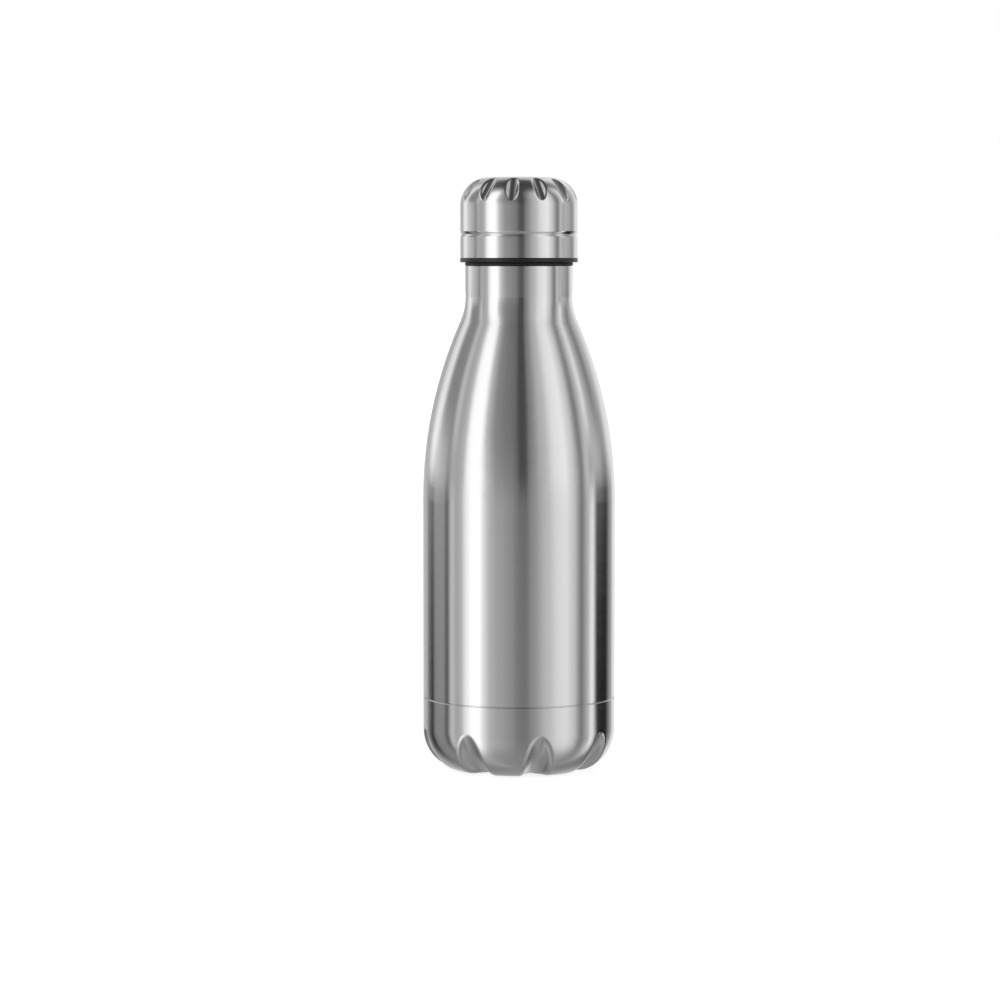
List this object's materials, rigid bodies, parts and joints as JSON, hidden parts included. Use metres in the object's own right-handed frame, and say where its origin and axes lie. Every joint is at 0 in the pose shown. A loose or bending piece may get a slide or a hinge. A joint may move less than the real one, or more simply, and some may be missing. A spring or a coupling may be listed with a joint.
{
  "type": "insulated water bottle",
  "caption": "Double-wall vacuum bottle in satin steel with a long sloping shoulder, a fluted petal base and a fluted screw cap with a threaded, gasketed plug.",
  "frame": {"origin": "centre of the base at the level of the feet, on the bottle's axis", "axes": "+Z along the bottle's axis, up towards the cap; -Y is the front, +X is to the right seen from the front"},
  "size_m": [0.074, 0.074, 0.2274],
  "materials": {
    "satin_steel": "fine circular brushing, satin",
    "liner_steel": "plain drawn",
    "copper_foil": "bright foil",
    "getter_metal": "sintered",
    "solder_glass": "fused",
    "black_plastic": "fine moulded",
    "white_foam": "foamed",
    "black_silicone": "soft matt"
  },
  "bodies": {
    "bottle": {"outer_shell": "satin_steel", "outer_base_cup": "satin_steel", "inner_liner": "liner_steel", "inner_base": "liner_steel", "reflective_foil": "copper_foil", "foil_base_disc": "copper_foil", "getter": "getter_metal", "getter_strap": "liner_steel", "vacuum_seal_bead": "solder_glass", "base_cover_disc": "satin_steel"},
    "gasket": {"cap_gasket": "black_silicone"},
    "cap": {"cap_shell": "satin_steel", "threaded_insert": "black_plastic", "insert_bottom_cap": "black_plastic", "plug_foam": "white_foam", "dome_foam": "white_foam"}
  },
  "joints": [
    {"name": "cap_lift", "type": "slide", "parent": "bottle", "child": "gasket", "axis": [0, 0, 1], "range_m": [0, 0.0241]},
    {"name": "cap_turn", "type": "hinge", "parent": "gasket", "child": "cap", "pos_m": [0, 0, 0.194], "axis": [0, 0, 1], "range_deg": [0, 2160]}
  ],
  "couplings": [
    {"joint": "cap_lift", "follows": "cap_turn", "m_per_rad": 0.00063662}
  ]
}
